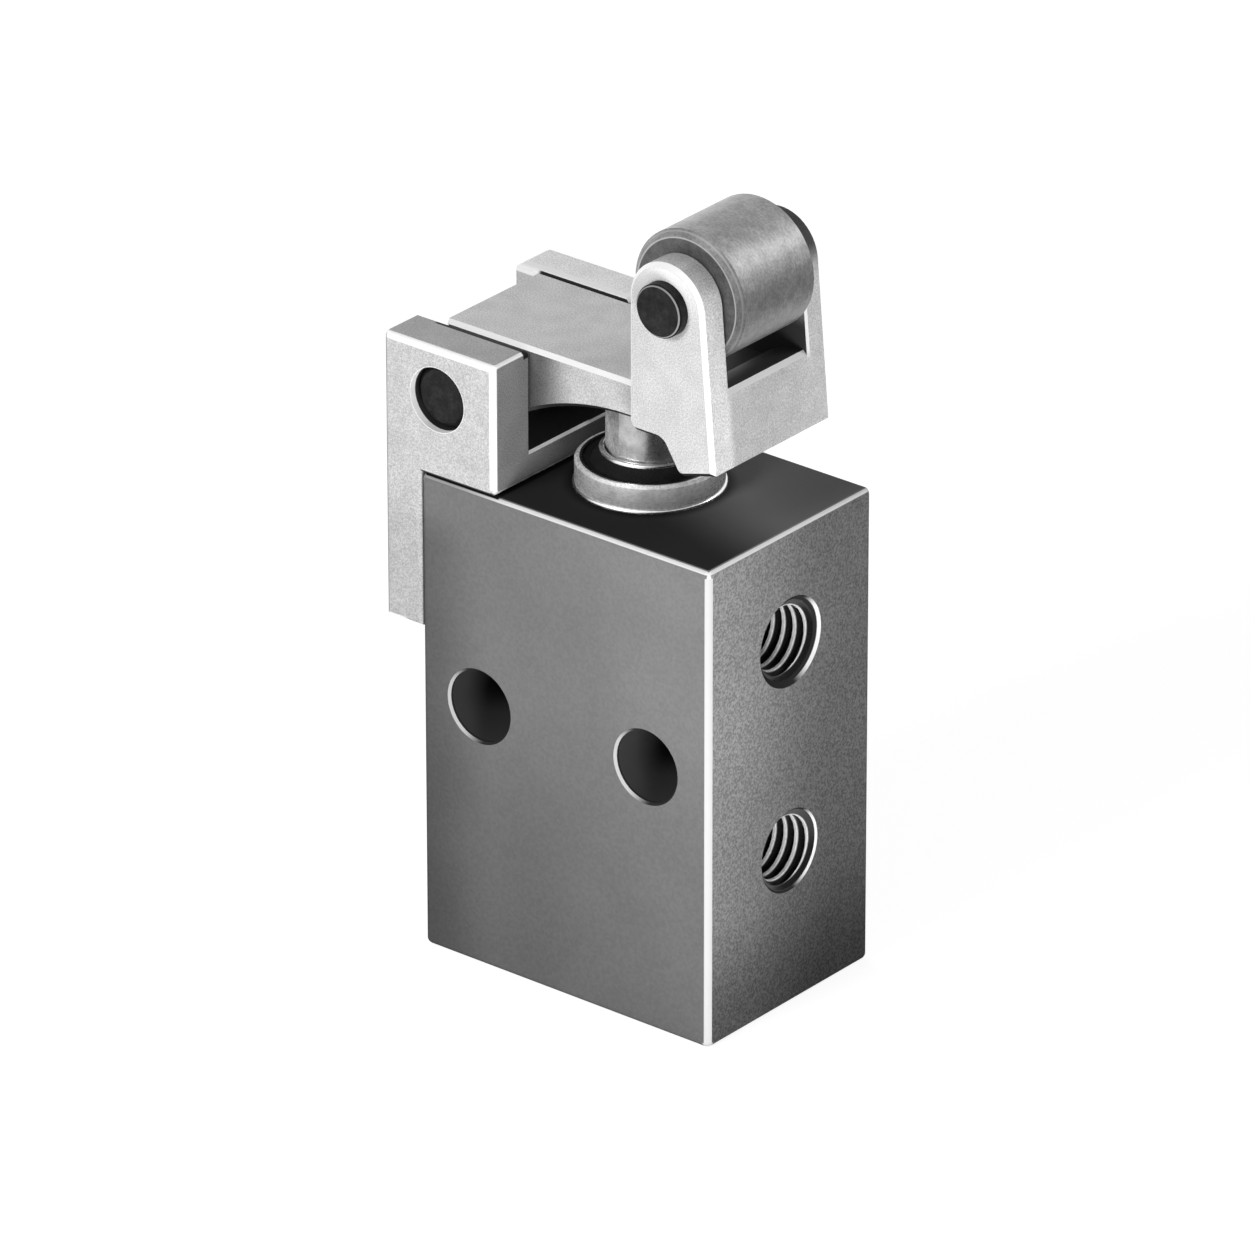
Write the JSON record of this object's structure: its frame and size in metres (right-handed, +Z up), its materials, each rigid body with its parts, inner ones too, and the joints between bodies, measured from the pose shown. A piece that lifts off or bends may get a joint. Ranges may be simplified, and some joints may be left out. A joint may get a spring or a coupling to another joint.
{
  "type": "roller lever air valve",
  "caption": "Roller lever valve: rectangular ported body, spring-returned plunger in a round collar, side bracket with a pivoted lever and a roller in a fork.",
  "frame": {"origin": "the point of the underside's plane on the plunger's axis", "axes": "+Z up along the plunger, +X towards the side with the two ports, -Y towards the front with the mounting holes"},
  "size_m": [0.0241, 0.015, 0.0492],
  "materials": {
    "body": "grey anodised, fine matt grain",
    "casting": "light die-casting, fine grain, bright edges",
    "polished_steel": "polished",
    "roller_steel": "ground satin",
    "dark_steel": "blackened",
    "spring": "drawn wire",
    "brass": "turned",
    "seal": "matt black"
  },
  "bodies": {
    "valve": {"valve_body": "body", "guide_bush": "polished_steel", "stem_wiper": "seal", "stem_o_ring": "seal", "support_washer": "brass", "plunger_spring": "spring", "valve_seat": "brass", "seat_o_ring": "seal", "poppet_cage": "brass", "poppet_spring": "spring", "bottom_plug": "brass", "plug_o_ring": "seal", "lever_bracket": "casting", "bracket_screws": "dark_steel", "pivot_pin": "dark_steel"},
    "lever": {"lever": "casting", "roller_pin": "dark_steel"},
    "roller": {"roller": "roller_steel"},
    "plunger": {"plunger": "polished_steel"},
    "poppet": {"poppet": "brass", "poppet_seal": "seal"}
  },
  "joints": [
    {"name": "lever_pivot", "type": "hinge", "parent": "valve", "child": "lever", "pos_m": [-0.00977, 0, 0.0357], "axis": [0, 1, 0], "range_deg": [0, 10], "stiffness_Nm_per_rad": 0.17, "springref_deg": -23.49},
    {"name": "roller_spin", "type": "hinge", "parent": "lever", "child": "roller", "pos_m": [0.0055, 0, 0.04515], "axis": [0, 1, 0], "continuous": true},
    {"name": "plunger_travel", "type": "slide", "parent": "valve", "child": "plunger", "axis": [0, 0, -1], "range_m": [0, 0.0017], "deforming": ["plunger_spring"]},
    {"name": "poppet_travel", "type": "slide", "parent": "valve", "child": "poppet", "axis": [0, 0, -1], "range_m": [0, 0.00115], "deforming": ["poppet_spring"]}
  ],
  "couplings": [
    {"joint": "plunger_travel", "follows": "lever_pivot", "m_per_rad": 0.00974},
    {"joint": "poppet_travel", "follows": "lever_pivot", "m_per_rad": 0.006588}
  ]
}
